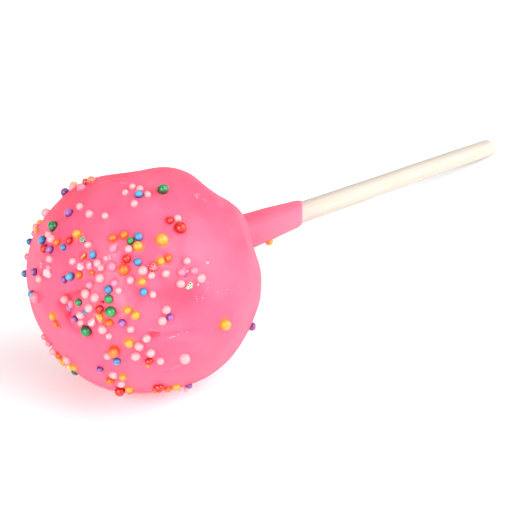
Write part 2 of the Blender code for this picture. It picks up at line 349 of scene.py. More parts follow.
# Swells and dents: degrees from the pole, turn, width in degrees, height.
SWELLS = (
    (113, 359, 17, 0.35 * MM),
    (131, 37, 12, 0.65 * MM),
    (124, 17, 9, -0.75 * MM),
    (95, 339, 16, -1.10 * MM),
    (52, 287, 25, 0.65 * MM),
    (42, 208, 11, -0.55 * MM),
    (72, 154, 15, -0.80 * MM),
    (90, 140, 4, -0.60 * MM),
    (128, 83, 20, 0.30 * MM),
    (132, 62, 7, -0.35 * MM),
    (15, 62, 8, 0.45 * MM),
    (4, 30, 6, -0.55 * MM),
    (13, 250, 8, 0.35 * MM),
    (66, 62, 11, -0.40 * MM),
    (66, 98, 13, 0.25 * MM),
    (104, 262, 18, 0.45 * MM),
    (128, 215, 15, 0.55 * MM),
    (133, 288, 16, -0.45 * MM),
)
RIPPLE_HEIGHT = 0.16 * MM
RIPPLE_LENGTH = 8.0 * MM

# Folds and grooves that are finer than the swells: the line that each follows, as degrees from the
# pole and turn, then its width and height.
FOLDS = (
    (((47, 12), (40, 26), (35, 45), (33, 65)), 1.7 * MM, 0.20 * MM),
    (((44, 24), (38, 50), (34, 82)), 0.55 * MM, 0.14 * MM),
    (((7, 20), (4, 26), (2, 90)), 0.9 * MM, -0.50 * MM),
    (((11, 28), (15, 34), (20, 45)), 0.45 * MM, -0.26 * MM),
    (((2, 90), (7, 134), (12, 126), (18, 113)), 0.9 * MM, -0.26 * MM),
    (((47, 93), (50, 93)), 0.32 * MM, -0.36 * MM),
    (((74, 40), (68, 46), (65, 56)), 0.8 * MM, -0.12 * MM),
    (((53, 93), (59, 92), (66, 91)), 0.45 * MM, -0.16 * MM),
    (((55, 97), (67, 94)), 0.5 * MM, 0.08 * MM),
    (((57, 122), (62, 118), (68, 113)), 0.35 * MM, -0.09 * MM),
    (((100, 8), (105, 14), (107, 24), (107, 34)), 0.8 * MM, 0.14 * MM),
    (((105, 36), (112, 38)), 0.6 * MM, -0.14 * MM),
    (((121, 30), (116, 46), (114, 58), (115, 74), (120, 92)), 1.0 * MM, 0.12 * MM),
    (((74, 44), (79, 60), (80, 76)), 1.8 * MM, 0.10 * MM),
    (((89, 69), (90, 71)), 0.5 * MM, 0.10 * MM),
    (((90, 88), (91, 89)), 0.6 * MM, 0.10 * MM),
    (((48, 215), (60, 225), (76, 228)), 1.2 * MM, 0.12 * MM),
    (((30, 250), (44, 262), (62, 268)), 1.0 * MM, -0.10 * MM),
)
# Dents and bulges that are too shallow to move a sprinkle: place, width in degrees, height.
DENTS = (
    (62, 78, 7, -0.34 * MM),
    (70, 64, 6, 0.30 * MM),
    (61, 68, 5, 0.16 * MM),
    (38, 78, 6, -0.22 * MM),
    (71, 101, 7, 0.26 * MM),
    (75, 96, 6, 0.20 * MM),
    (42, 48, 6, -0.10 * MM),
    (17, 170, 7, 0.14 * MM),
    (61, 13, 6, 0.14 * MM),
    (69, 24, 5, 0.30 * MM),
    (85, 52, 6, 0.16 * MM),
    (87, 64, 6, 0.18 * MM),
    (72, 50, 4, -0.05 * MM),
    (93, 30, 6, -0.26 * MM),
    (104, 54, 6, -0.32 * MM),
    (58, 107, 5, -0.10 * MM),
    (14, 61, 5, 0.22 * MM),
    (9, 168, 4, 0.20 * MM),
)
# Patches of painted shade, deep pink, and of painted light, pale: place, width in degrees, and how
# much, from 1 for the deepest painted shade to -1 for the palest painted light.
PAINTED_SHADE_AND_LIGHT = (
    (69, 70, 7, 0.45),
    (58, 68, 8, 0.60),
    (44, 30, 5, -0.60),
    (36, 66, 4, -0.35),
    (61, 338, 9, 0.40),
    (54, 322, 8, 0.45),
    (67, 325, 9, 0.50),
    (78, 345, 7, 0.60),
    (84, 353, 6, 0.20),
    (95, 359, 6, 0.40),
    (75, 15, 5, 0.55),
    (74, 353, 5, 0.40),
    (3, 316, 3, 0.50),
    (9, 54, 4, 0.50),
    (9, 106, 4, -0.60),
    (17, 86, 4, 0.45),
    (32, 82, 4, -0.35),
    (47, 22, 4, 0.30),
    (49, 63, 4, -0.45),
    (4, 60, 7, 0.45),
    (42, 63, 6, 0.75),
    (78, 62, 5, 0.35),
    (101, 25, 5, -0.45),
    (50, 66, 5, 0.30),
    (47, 93, 2, 0.70),
    (49, 93, 2, 0.70),
)
SLEEVE_WAVE = 0.07 * MM
SLEEVE_WAVE_LENGTH = 3.4 * MM

# Scuffs that show white: the two ends of each, and its width.
SCUFFS = (
    ((69, 345), (72, 349), 0.16 * MM),
    ((73, 350), (76, 356), 0.14 * MM),
    ((71, 357), (73, 360), 0.12 * MM),
    ((82, 359), (83, 2), 0.10 * MM),
    ((96, 25), (98, 26), 0.16 * MM),
    ((98, 29), (99, 30), 0.14 * MM),
    ((55, 95), (58, 94), 0.13 * MM),
    ((59, 93), (60, 93), 0.10 * MM),
    ((61, 92), (62, 92), 0.08 * MM),
    ((63, 92), (64, 92), 0.08 * MM),
    ((46, 90), (50, 91), 0.10 * MM),
    ((62, 118), (65, 113), 0.10 * MM),
    ((63, 109), (66, 106), 0.09 * MM),
)
SCUFF_WEAR = 0.35 * MM
CLOUD_SIZE = 7.0 * MM
STREAK_SIZE = 1.8 * MM
SKIN_GRAIN = 0.22 * MM
CANDY_PINK = (0.93, 0.087, 0.163, 1.0)
CANDY_PALE = (0.95, 0.112, 0.193, 1.0)
CANDY_DEEP = (0.92, 0.070, 0.140, 1.0)
SCUFF_WHITE = (0.95, 0.44, 0.52, 1.0)

# Pinches of sprinkles: degrees from the pole, turn, spread in degrees, and the colours that fell, by
# their first letters (v is violet). A capital letter is a large sprinkle.
PINCHES = (
    (6, 25, 4, "pvw"),
    (8, 215, 4, "yo"),
    (15, 86, 4, "wvw"),
    (17, 113, 1, "G"),
    (20, 54, 4, "wwgp"),
    (23, 75, 5, "wyovr"),
    (25, 99, 3, "ww"),
    (27, 55, 5, "pwwg"),
    (28, 75, 1, "G"),
    (17, 4, 2, "v"),
    (19, 292, 8, "wPv"),
    (25, 272, 2, "b"),
    (23, 13, 5, "wbpo"),
    (30, 22, 5, "bwopw"),
    (31, 327, 6, "vwwor"),
    (31, 350, 3, "br"),
    (38, 323, 5, "Gwb"),
    (31, 217, 3, "pp"),
    (34, 182, 6, "yyw"),
    (33, 146, 2, "v"),
    (32, 121, 5, "wOb"),
    (33, 44, 6, "wbwp"),
    (37, 357, 4, "gy"),
    (38, 81, 6, "wyyv"),
    (42, 105, 5, "ywww"),
    (45, 45, 5, "rwbO"),
    (44, 28, 3, "op"),
    (44, 144, 5, "woyw"),
    (49, 59, 6, "ywwb"),
    (51, 109, 4, "wrw"),
    (52, 81, 4, "wwv"),
    (53, 32, 6, "yogb"),
    (49, 338, 2, "v"),
    (56, 358, 12, "www"),
    (57, 55, 6, "ywowr"),
    (54, 151, 5, "Ryo"),
    (62, 40, 2, "Y"),
    (68, 11, 6, "wwbwww"),
    (79, 17, 1, "G"),
    (73, 37, 4, "Rwr"),
    (68, 62, 6, "ppwwgw"),
    (66, 106, 2, "W"),
    (84, 91, 2, "Y"),
    (116, 108, 2, "v"),
    (69, 138, 6, "oRyo"),
    (82, 138, 5, "wvw"),
    (68, 335, 4, "opr"),
    (73, 318, 4, "yvw"),
    (58, 300, 8, "yw"),
)

# More pinches, by chance, on the side that faces +Y.
FAR_PINCHES = 10
FAR_PINCH_SIZE = 4
FAR_SPREAD = 10.0
FAR_POLAR = (52, 90)
FAR_TURN = (185, 290)
COLOUR_MIX = "wwwwwwpooyyrrvvbbg"
SEED = 1885

# One sprinkle. Its middle stands out of the coating by a share of its radius, the lift.
GRAIN_RADIUS = (0.48 * MM, 0.68 * MM)
LARGE_GRAIN_RADIUS = 0.80 * MM
# How much fuller a round sprinkle is than its solid, which has few sides.
GRAIN_FULLNESS = 1.16
GRAIN_LIFT = (0.25, 0.60)
GRAIN_ROOM = 0.15 * MM
GRAIN_TRIES = 40
GRAIN_CLEARANCE = 0.8 * MM
# The coating rises to a rim round each sprinkle.
RIM_HEIGHT = 0.09 * MM
RIM_REACH = 0.28 * MM

# Each colour: its name, the bead's side tone, darker as painted shade, its top tone, lighter as painted
# light, and how strongly a painted reflection of the bead tints the coating round it.
SPRINKLE_COLOURS = {
    "w": ("white", (0.64, 0.245, 0.28, 1.0), (0.67, 0.30, 0.315, 1.0), 0.00),
    "p": ("pink", (0.74, 0.12, 0.19, 1.0), (0.70, 0.19, 0.29, 1.0), 0.15),
    "r": ("red", (0.33, 0.001, 0.001, 1.0), (0.61, 0.017, 0.009, 1.0), 0.45),
    "o": ("orange", (0.66, 0.055, 0.001, 1.0), (0.85, 0.155, 0.005, 1.0), 0.45),
    "y": ("yellow", (0.74, 0.245, 0.006, 1.0), (0.79, 0.270, 0.030, 1.0), 0.40),
    "g": ("green", (0.001, 0.028, 0.008, 1.0), (0.015, 0.28, 0.085, 1.0), 0.10),
    "b": ("blue", (0.016, 0.034, 0.20, 1.0), (0.062, 0.300, 0.455, 1.0), 0.10),
    "v": ("violet", (0.074, 0.014, 0.13, 1.0), (0.36, 0.105, 0.35, 1.0), 0.22),
}
# How far the painted reflection of a bead spreads into the coating round it.
PAINTED_REFLECTION_REACH = 0.30 * MM
# Hollows get painted shade and rises painted light; a hollow this deep is painted as deep pink as
# can be. A wide dent counts for less, and the sleeve is painted paler towards its thin end.
FULL_SHADE_DEPTH = 0.40 * MM
DENT_SHADE = 0.35
SLEEVE_THINNING = 0.9
CANDY_PAINTED_SHADE = (0.90, 0.034, 0.074, 1.0)
CANDY_PAINTED_LIGHT_AND_THIN = (0.95, 0.138, 0.212, 1.0)

# The one on the sleeve: how far along the stick, how far out, turn.
SLEEVE_GRAIN = (32.7 * MM, 3.1 * MM, 147)


def soft_sum(direction, places):
    """What the places add up to in this direction. Each fades away smoothly round its middle."""
    total = 0.0
    for polar, turn, width, amount in places:
        away = math.degrees(direction.angle(toward(polar, turn)))
        total += amount * math.exp(-((away / width) ** 2))
    return total


def swell(direction):
    """How far the coating stands out from the plain ball in this direction."""
    ripple = noise.noise(direction * (BALL_SIDE / RIPPLE_LENGTH), noise_basis="PERLIN_ORIGINAL")
    return soft_sum(direction, SWELLS) + RIPPLE_HEIGHT * ripple


def coating_form(point):
    """Moves a point of the plain turned outline to its place on the uneven real coating."""
    direction = point.normalized()
    fade = 1.0 - eased(BALL_BACK, NECK_END, point.z)
    moved = point + direction * swell(direction) * fade
    if point.z > NECK_END and point.xy.length > STICK_RADIUS:
        turn = math.atan2(-point.y, -point.x)
        slant = SLEEVE_SLANT * math.cos(turn - math.radians(SLEEVE_LONG_TURN))
        notch = SLEEVE_NOTCH * max(0.0, math.cos(turn - math.radians(SLEEVE_NOTCH_TURN))) ** 2
        moved.z += (slant - notch) * eased(NECK_END, SLEEVE_END, point.z)
    return moved + BALL_OFF_LINE * (1.0 - eased(CENTRED_FROM, CENTRED_BY, moved.z))


def plain_ball_point(direction):
    """Where a ray from the ball's middle leaves the plain ball."""
    height = BALL_BACK if direction.z > 0 else BALL_POLE
    return direction / math.hypot(direction.xy.length / BALL_SIDE, direction.z / height)


def fold_lines():
    """The folds, with the ends of each of their stretches as directions."""
    found = []
    for places, width, lift in FOLDS:
        ends = [toward(*place) for place in places]
        found.append((list(zip(ends, ends[1:])), width, lift))
    return found


FOLD_LINES = fold_lines()


def away_from(direction, first, second):
    """How far a point of the ball is from the line between two others."""
    _, share = geometry.intersect_point_line(direction, first, second)
    closest = first.lerp(second, min(1.0, max(0.0, share)))
    return (direction - closest).length * BALL_SIDE


def fold(direction):
    """The height of the folds and grooves in this direction."""
    height = 0.0
    for line, width, lift in FOLD_LINES:
        near = min(away_from(direction, first, second) for first, second in line)
        height += lift * math.exp(-((near / width) ** 2))
    return height


def relief(direction):
    """How far folds, grooves, dents and bulges lift the coating in this direction."""
    return fold(direction) + soft_sum(direction, DENTS)


def on_coating(direction):
    """Where a ray from the ball's middle comes out of the coating."""
    return coating_form(plain_ball_point(direction)) + direction * relief(direction)


def stray(rng, middle, spread):
    """A direction that falls near another one, by chance."""
    aside = middle.orthogonal().normalized()
    across = middle.cross(aside)
    reach = math.tan(math.radians(spread)) * math.sqrt(rng.random())
    turn = rng.uniform(0.0, math.tau)
    return (middle + aside * reach * math.cos(turn) + across * reach * math.sin(turn)).normalized()


def room_for(middle, radius, placed):
    """Whether a sprinkle can lie here, clear of those that are placed already."""
    return all(
        (middle - other).length > radius + other_radius + GRAIN_ROOM
        for other, other_radius, _ in placed
    )


def grains():
    """Every sprinkle as (middle, radius, colour letter) in the pop's own frame, the largest first."""
    rng = random.Random(SEED)
    pinches = list(PINCHES)
    for _ in range(FAR_PINCHES):
        colours = "".join(rng.choice(COLOUR_MIX) for _ in range(FAR_PINCH_SIZE))
        pinches.append((rng.uniform(*FAR_POLAR), rng.uniform(*FAR_TURN), FAR_SPREAD, colours))
    falls = []
    for polar, turn, spread, colours in pinches:
        for colour in colours:
            radius = LARGE_GRAIN_RADIUS if colour.isupper() else rng.uniform(*GRAIN_RADIUS)
            falls.append((radius, toward(polar, turn), spread, colour.lower()))
    falls.sort(key=lambda fall: -fall[0])
    placed = []
    for radius, aim, spread, colour in falls:
        for attempt in range(GRAIN_TRIES):
            direction = stray(rng, aim, spread * (1.0 + attempt / GRAIN_TRIES))
            lift = radius * rng.uniform(*GRAIN_LIFT)
            middle = coating_form(plain_ball_point(direction)) + direction * lift
            over_table = (LAY_DOWN @ middle).z - radius > GRAIN_CLEARANCE
            if over_table and room_for(middle, radius, placed):
                placed.append((middle, radius, colour))
                break
    along, out, turn = SLEEVE_GRAIN
    placed.append((toward(90, turn) * out + Vector((0.0, 0.0, along)), GRAIN_RADIUS[1], "y"))
    return [(middle, radius * GRAIN_FULLNESS, colour) for middle, radius, colour in placed]


GRAINS = grains()


def coating_outline():
    """Half outline of the coating before it is made uneven: up the bore that the stick fills, round
    the lip, down the sleeve and neck, and round the ball to its pole."""
    bore = STICK_RADIUS + BORE_GAP
    points = [(0.0, -BORE_GAP)]
    for ring in range(BORE_RINGS):
        points.append((bore, -BORE_GAP + (SLEEVE_END + BORE_GAP) * ring / BORE_RINGS))
    for ring in range(LIP_RINGS):
        share = ring / LIP_RINGS
        rise = math.sin(share * math.pi / 2)
        out = bore + (SLEEVE_END_RADIUS - bore) * rise
        points.append((out, SLEEVE_END - SLEEVE_LIP * share**LIP_BLUNTNESS))
    low = SLEEVE_END - SLEEVE_LIP
    for ring in range(SLEEVE_RINGS):
        share = ring / SLEEVE_RINGS
        swelling = math.sin(share * math.pi / 2)
        radius = SLEEVE_END_RADIUS + (NECK_RADIUS - SLEEVE_END_RADIUS) * swelling
        points.append((radius, low + (NECK_END - low) * share))
    polar_start = math.pi - math.asin(NECK_START / BALL_SIDE)
    foot = Vector((NECK_START, -math.cos(polar_start) * BALL_BACK))
    top = Vector((NECK_RADIUS, NECK_END))
    corner = Vector((NECK_RADIUS, foot.y)) + NECK_HOLLOW
    for ring in range(NECK_RINGS):
        share = ring / NECK_RINGS
        bend = top.lerp(corner, share).lerp(corner.lerp(foot, share), share)
        points.append((bend.x, bend.y))
    for ring in range(BALL_RINGS):
        polar = polar_start * (1.0 - ring / BALL_RINGS)
        height = BALL_BACK if polar > math.pi / 2 else BALL_POLE
        points.append((math.sin(polar) * BALL_SIDE, -math.cos(polar) * height))
    points.append((0.0, -BALL_POLE))
    return points


def set_coating(point, nearby):
    """Where a point of the plain outline ends up: on the form, with folds, waves and rims. Also its
    painted light and shade, from -1 to 1, and the painted reflection of the nearest sprinkle."""
    in_bore = point.xy.length < STICK_RADIUS + 2 * BORE_GAP and point.z < SLEEVE_END - WELD
    if in_bore and point.z > -2 * BORE_GAP:
        return point, 0.0, (0.0, 0.0, 0.0, 0.0)
    direction = point.normalized()
    moved = coating_form(point)
    fade = 1.0 - eased(BALL_BACK, NECK_END, point.z)
    if fade > 0.0:
        folded = fold(direction) * fade
        dented = soft_sum(direction, DENTS) * fade
        moved += direction * (folded + dented)
        # Painted shade in hollows, painted light on rises, and the patches of painted shade and light.
        thick = soft_sum(direction, PAINTED_SHADE_AND_LIGHT) - (folded + DENT_SHADE * dented) / FULL_SHADE_DEPTH
    else:
        out = Vector((point.x, point.y, 0.0)).normalized()
        calm = 1.0 - eased(SLEEVE_END - 2 * SLEEVE_LIP, SLEEVE_END, point.z)
        # The sleeve is painted paler towards its thin end.
        thick = -SLEEVE_THINNING * eased(NECK_END, SLEEVE_END, point.z)
        moved += out * SLEEVE_WAVE * noise.noise(point / SLEEVE_WAVE_LENGTH) * calm
    thick = min(1.0, max(-1.0, thick))
    seat, index, away = nearby.find(moved)
    outside = max(0.0, away - GRAINS[index][1])
    # A painted reflection of the nearest sprinkle's colour, which also darkens the coating round dark
    # ones.
    _, side, _, share = SPRINKLE_COLOURS[GRAINS[index][2]]
    painted_reflection = (*side[:3], share * math.exp(-((outside / PAINTED_REFLECTION_REACH) ** 2)))
    if outside < 3 * RIM_REACH:
        moved += direction * RIM_HEIGHT * math.exp(-((outside / RIM_REACH) ** 2))
    return moved, thick, painted_reflection


def scuff_group():
    """A thin scratch between two points, as a mask."""
    tree = bpy.data.node_groups.new("thin_scratch", "ShaderNodeTree")
    for name, kind in (("Place", "Vector"), ("Start", "Vector"), ("End", "Vector"), ("Width", "Float")):
        tree.interface.new_socket(name, in_out="INPUT", socket_type="NodeSocket" + kind)
    tree.interface.new_socket("Mask", in_out="OUTPUT", socket_type="NodeSocketFloat")
    given = tree.nodes.new("NodeGroupInput").outputs
    start, end, spot = given["Start"], given["End"], given["Place"]
    run = put(tree, "VectorMath", {0: end, 1: start}, operation="SUBTRACT").outputs[0]
    off = put(tree, "VectorMath", {0: spot, 1: start}, operation="SUBTRACT").outputs[0]
    reach = put(tree, "VectorMath", {0: off, 1: run}, operation="DOT_PRODUCT").outputs["Value"]
    whole = put(tree, "VectorMath", {0: run, 1: run}, operation="DOT_PRODUCT").outputs["Value"]
    share = put(tree, "Math", {0: reach, 1: whole}, operation="DIVIDE", use_clamp=True).outputs[0]
    closest = put(tree, "VectorMath", {0: run, "Scale": share}, operation="SCALE").outputs[0]
    away = put(tree, "VectorMath", {0: off, 1: closest}, operation="DISTANCE").outputs["Value"]
    worn = put(tree, "TexNoise", {"Vector": spot, "Scale": 1.0 / SCUFF_WEAR}).outputs["Fac"]
    width = put(tree, "Math", {0: given["Width"], 1: worn}, operation="MULTIPLY").outputs[0]
    faded = {"Value": away, "From Min": 0.0, "From Max": width, "To Min": 1.0, "To Max": 0.0}
    mask = put(tree, "MapRange", faded)
    result = tree.nodes.new("NodeGroupOutput")
    tree.links.new(mask.outputs["Result"], result.inputs["Mask"])
    return tree


def scuffs(tree, place):
    """All the scuffs, as one mask."""
    scratch = scuff_group()
    scuffed = 0.0
    for start, end, width in SCUFFS:
        mark = tree.nodes.new("ShaderNodeGroup")
        mark.node_tree = scratch
        tree.links.new(place, mark.inputs["Place"])
        for socket, spot in (("Start", start), ("End", end)):
            mark.inputs[socket].default_value = LAY_DOWN @ on_coating(toward(*spot))
        mark.inputs["Width"].default_value = width
        both = {0: scuffed, 1: mark.outputs["Mask"]}
        scuffed = put(tree, "Math", both, operation="MAXIMUM").outputs[0]
    return scuffed


def candy_finish():
    """Set candy coating: satin, a little see-through, cloudy in places, with white scuffs."""
    made, tree, shader, place = new_finish("pink_candy_coating")
    cloud = patches(tree, place, CLOUD_SIZE, 3.0)
    streak = patches(tree, place, STREAK_SIZE, 3.0)
    grain = patches(tree, place, SKIN_GRAIN, 2.0)
    candy = mixed(tree, ranged(tree, cloud, 0.0, 1.0, 0.0, 0.6), CANDY_PINK, CANDY_PALE)
    candy = mixed(tree, ranged(tree, streak, 0.2, 1.0, 0.0, 0.15), candy, CANDY_DEEP)
    # Painted shade deepens the pink in hollows and dark patches; painted light pales it on rises.
    thick = put(tree, "Attribute", attribute_name="thick").outputs["Fac"]
    candy = mixed(tree, ranged(tree, thick, 0.0, 1.0, 0.0, 0.85), candy, CANDY_PAINTED_SHADE)
    candy = mixed(tree, ranged(tree, thick, 0.0, -1.0, 0.0, 0.85), candy, CANDY_PAINTED_LIGHT_AND_THIN)
    # The painted reflection of each sprinkle tints the coating round it.
    painted_reflection = put(tree, "Attribute", attribute_name="painted_reflection")
    candy = mixed(tree, painted_reflection.outputs["Alpha"], candy, painted_reflection.outputs["Color"])
    candy = mixed(tree, scuffs(tree, place), candy, SCUFF_WHITE)
    tree.links.new(candy, shader.inputs["Base Color"])
    satin = ranged(tree, cloud, 0.0, 1.0, 0.28, 0.34)
    edge_on = put(tree, "LayerWeight", {"Blend": 0.5}).outputs["Facing"]
    duller = ranged(tree, edge_on, 0.50, 1.0, 0.0, 0.30)
    dull = put(tree, "Math", {0: satin, 1: duller}, operation="ADD").outputs[0]
    tree.links.new(dull, shader.inputs["Roughness"])
    shader.inputs["Specular IOR Level"].default_value = 0.18
    shader.inputs["Subsurface Weight"].default_value = 0.20
    shader.inputs["Subsurface Radius"].default_value = (1.0, 0.25, 0.35)
    shader.inputs["Subsurface Scale"].default_value = 1.2 * MM
    skin = put(tree, "Bump", {"Height": grain, "Strength": 0.15, "Distance": 0.02 * MM})
    tree.links.new(skin.outputs["Normal"], shader.inputs["Normal"])
    return made


near_grains = kdtree.KDTree(len(GRAINS))
for index, (middle, _, _) in enumerate(GRAINS):
    near_grains.insert(middle, index)
near_grains.balance()

coating = spun(coating_outline(), COATING_SIDES)
# Each point of the coating keeps its painted light and shade, and the sprinkles' painted reflection.
painted_light_and_shade_layer = coating.verts.layers.float.new("thick")
painted_reflection_layer = coating.verts.layers.float_color.new("painted_reflection")
for vertex in coating.verts:
    vertex.co, vertex[painted_light_and_shade_layer], vertex[painted_reflection_layer] = set_coating(vertex.co, near_grains)
candy_coating = laid_down(coating, "candy_coating", candy_finish())
for vertex in candy_coating.data.vertices:
    vertex.co.z = max(vertex.co.z, solid_box[0].z)
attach(candy_coating, "root")
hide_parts("candy_coated_ball")

# ------------------------------------------------------------------------------------ sprinkles
# Nonpareils: round beads of sugar and starch, 1.1 to 1.9 mm across, built up in a drum and glazed in
# eight colours. They fell in pinches and stuck where they touched the wet coating. Some are frosted,
# cracked, or broken to chips. Each colour is one piece.

GRAIN_UNEVEN = 0.08
GRAIN_SQUASH = (0.90, 1.06)
FROSTED_SHARE = 0.05
# Where the beads lie that are frosted all over, and those that broke: degrees from the pole, turn.
FROSTED_AT = ((37, 2), (72, 334), (26, 22), (60, 240), (90, 141))
BROKEN_AT = ((69, 68), (22, 87), (50, 300), (27, 14))
SAME_PLACE = math.radians(3.5)
BREAK_DEPTH = (0.10, 0.40)
BREAK_TILT = 50.0
FROST_DEPTH = (0.35, 0.70)
DULLEST = 0.55
SPRINKLE_SEED = 52
# Coloured chips of broken sprinkles: degrees from the pole, turn, radius and colour letter.
CHIPS = (
    (16, 73, 0.62 * MM, "b"),
    (25, 64, 0.45 * MM, "r"),
    (27, 31, 0.60 * MM, "o"),
    (9, 186, 0.48 * MM, "o"),
    (32, 34, 0.80 * MM, "w"),
    (50, 118, 0.40 * MM, "y"),
    (66, 62, 0.42 * MM, "v"),
    (70, 255, 0.45 * MM, "g"),
    (48, 200, 0.50 * MM, "p"),
)
CHIP_SQUASH = (0.50, 1.0)
CHIP_LIFT = 0.25
CHIP_SHADE = 0.55
CHIP_SEED = 11
SPECK_SIZE = 0.20 * MM
FROST = (0.80, 0.50, 0.60, 1.0)


def sprinkle_finish(name, side, lit_crown):
    """Glazed sugar in one colour, painted shade round the side, painted light on top, a few frosted."""
    made, tree, shader, place = new_finish("sugar_" + name)
    shade = put(tree, "Attribute", attribute_name="shade").outputs["Fac"]
    frost = put(tree, "Attribute", attribute_name="frost").outputs["Fac"]
    speck = patches(tree, place, SPECK_SIZE, 3.0)
    # Painted shade round the side of each bead, painted light on its top.
    sugar = mixed(tree, shade, side, lit_crown)
    sugar = mixed(tree, ranged(tree, speck, 0.55, 1.0, 0.0, 0.30), sugar, lit_crown)
    crust = put(tree, "Math", {0: ranged(tree, speck, 0.30, 0.80), 1: frost}, operation="MULTIPLY")
    sugar = mixed(tree, crust.outputs[0], sugar, FROST)
    tree.links.new(sugar, shader.inputs["Base Color"])
    tree.links.new(ranged(tree, speck, 0.0, 1.0, 0.40, 0.60), shader.inputs["Roughness"])
    shader.inputs["Specular IOR Level"].default_value = 0.15
    shader.inputs["Coat Weight"].default_value = 0.90
    shader.inputs["Coat Roughness"].default_value = 0.12
    shader.inputs["Subsurface Weight"].default_value = 0.12
    shader.inputs["Subsurface Radius"].default_value = (0.8, 0.6, 0.6)
    shader.inputs["Subsurface Scale"].default_value = 0.3 * MM
    skin = put(tree, "Bump", {"Height": speck, "Strength": 0.25, "Distance": 0.02 * MM})
    tree.links.new(skin.outputs["Normal"], shader.inputs["Normal"])
    return made


def shade_layer(shape):
    """The lighter tone's share: painted light on beads, white on crumbs. Made when first asked for."""
    return shape.verts.layers.float.get("shade") or shape.verts.layers.float.new("shade")


def frost_layer(shape):
    """How thick the frost lies at each point. The layer is made when first asked for."""
    return shape.verts.layers.float.get("frost") or shape.verts.layers.float.new("frost")


def chance_lump(rng):
    """Where in the endless noise a piece takes its unevenness from."""
    return Vector([rng.uniform(0.0, 50.0) for _ in range(3)])


def chance_squash(rng, shares):
    """Flattens a piece by chance, along each of its three axes."""
    return Matrix.Diagonal([rng.uniform(*shares) for _ in range(3)])


def chance_spin(rng):
    """Turns a piece any way round."""
    return Euler([rng.uniform(0.0, math.tau) for _ in range(3)]).to_matrix()


def add_bead(shape, middle, outward, radius, rng, shade, frost):
    """Adds one bead, a little out of round, where it sits in the coating. Returns its vertices."""
    made = bmesh.ops.create_icosphere(shape, subdivisions=2, radius=radius)["verts"]
    lump = chance_lump(rng)
    squash = chance_squash(rng, GRAIN_SQUASH)
    spin = chance_spin(rng)
    for vertex in made:
        uneven = 1.0 + GRAIN_UNEVEN * noise.noise(vertex.co / radius + lump)
        off = spin @ squash @ vertex.co * uneven
        vertex.co = off + middle
        # The outward top of the bead gets painted light, its side towards the coating painted shade.
        vertex[shade_layer(shape)] = shade * eased(0.10, 0.92, off.dot(outward) / radius)
        vertex[frost_layer(shape)] = frost
    return made


def break_off(shape, vertices, spot, facing):
    """Breaks away what lies beyond the spot, and leaves the white inside of the sugar bare."""
    faces = {face for vertex in vertices for face in vertex.link_faces}
    edges = {edge for vertex in vertices for edge in vertex.link_edges}
    in_order = [sorted(kind, key=lambda item: item.index) for kind in (vertices, edges, faces)]
    made = bmesh.ops.bisect_plane(
        shape,
        geom=sum(in_order, []),
        dist=WELD,
        plane_co=spot,
        plane_no=facing,
        clear_outer=True,
    )
    broken = [edge for edge in made["geom_cut"] if isinstance(edge, bmesh.types.BMEdge)]
    bmesh.ops.holes_fill(shape, edges=broken, sides=0)
    for edge in broken:
        for vertex in edge.verts:
            vertex[frost_layer(shape)] = 1.0
            vertex[shade_layer(shape)] = 1.0


def add_chip(shape, middle, radius, rng):
    """Adds one angular piece of a sprinkle that broke."""
    squash = chance_squash(rng, CHIP_SQUASH)
    spin = chance_spin(rng)
    for vertex in bmesh.ops.create_icosphere(shape, subdivisions=1, radius=radius)["verts"]:
        vertex.co = spin @ squash @ vertex.co + middle
        vertex[shade_layer(shape)] = CHIP_SHADE
        vertex[frost_layer(shape)] = 0.0


def lies_at(direction, places):
    """Whether one of the places is this one, or nearly."""
    return any(direction.angle(toward(*place)) < SAME_PLACE for place in places)


def ball_direction(place):
    """The direction from the ball's own middle, which sits off the stick's line, to a place on it."""
    return (place - BALL_OFF_LINE * (1.0 - eased(CENTRED_FROM, CENTRED_BY, place.z))).normalized()


sprinkle_rng = random.Random(SPRINKLE_SEED)
chip_rng = random.Random(CHIP_SEED)
for letter, (name, side, lit_crown, _) in SPRINKLE_COLOURS.items():
    beads = bmesh.new()
    shade_layer(beads)
    frost_layer(beads)
    for middle, radius, colour in GRAINS:
        if colour != letter:
            continue
        direction = ball_direction(middle)
        lifted = relief(direction) if middle.z < BALL_BACK else 0.0
        seat = middle + direction * lifted
        outward = direction if middle.z < BALL_BACK else Vector((middle.x, middle.y, 0.0)).normalized()
        crusted = sprinkle_rng.random() < FROSTED_SHARE or lies_at(direction, FROSTED_AT)
        frosted = sprinkle_rng.uniform(*FROST_DEPTH) if crusted else 0.0
        shade = sprinkle_rng.uniform(DULLEST, 1.0)
        bead = add_bead(beads, seat, outward, radius, sprinkle_rng, shade, frosted)
        aside = stray(sprinkle_rng, outward, BREAK_TILT)
        depth = radius * sprinkle_rng.uniform(*BREAK_DEPTH)
        if lies_at(direction, BROKEN_AT):
            beads.verts.index_update()
            beads.edges.index_update()
            beads.faces.index_update()
            break_off(beads, bead, seat + aside * depth, aside)
    for polar, turn, radius, colour in CHIPS:
        if colour != letter:
            continue
        direction = toward(polar, turn)
        add_chip(beads, on_coating(direction) + direction * radius * CHIP_LIFT, radius, chip_rng)
    bmesh.ops.recalc_face_normals(beads, faces=beads.faces)
    sprinkles = laid_down(beads, "sprinkles_" + name, sprinkle_finish(name, side, lit_crown))
    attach(sprinkles, "root")
    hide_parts("candy_coated_ball")

# --------------------------------------------------------------------------------- sugar crumbs
# Sprinkles that broke before they fell: a white flake 1.5 mm across, clumps of pale splinters, and
# grains of sugar dust down to 0.15 mm that stuck to the coating. All are one piece.

CRUMB_SIZES = (0.75, 1.15)
CRUMB_UNEVEN = 0.45
CRUMB_LUMPS = 1.6
CRUMB_SQUASH = (0.60, 1.0)
CRUMB_LIFT = 0.35
CRUMB_SEED = 7
# A crumb of a larger radius than this is a flake of bare white sugar.
CRUMB_FLAKE = 0.40 * MM
